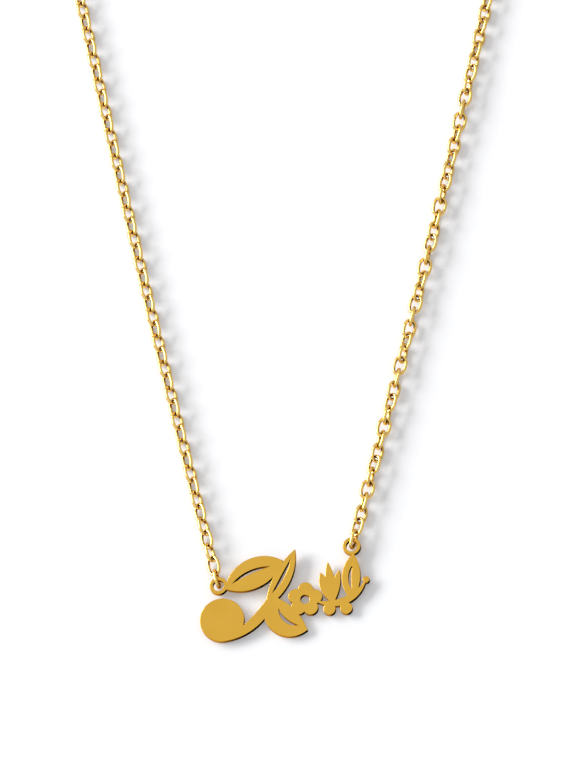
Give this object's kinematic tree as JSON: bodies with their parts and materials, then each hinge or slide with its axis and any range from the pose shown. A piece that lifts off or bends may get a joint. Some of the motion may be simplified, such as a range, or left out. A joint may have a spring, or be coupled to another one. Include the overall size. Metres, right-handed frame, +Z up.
{
  "type": "nameplate necklace",
  "caption": "Closed cable-chain necklace with a flat pierced plate hung between two eyelets and a spring-ring clasp, laid out flat as a loop.",
  "frame": {"origin": "On the surface that the necklace lies on, under the middle of its box, inside the loop of the chain", "axes": "+Z up from the surface, +Y along the loop from the nameplate to the clasp, +X to the right as the plate is looked at"},
  "size_m": [0.0885, 0.2018, 0.0027],
  "materials": {
    "plate": "Gold-plated stainless steel sheet, cut through and polished to a mirror, with darker cut edges",
    "chain": "Gold-plated stainless steel wire links, bright polished",
    "clasp": "Gold-plated stainless steel, bright polished"
  },
  "bodies": {
    "root": {"nameplate": "plate", "chain_left": "chain", "chain_right": "chain", "clasp": "clasp"}
  },
  "joints": []
}
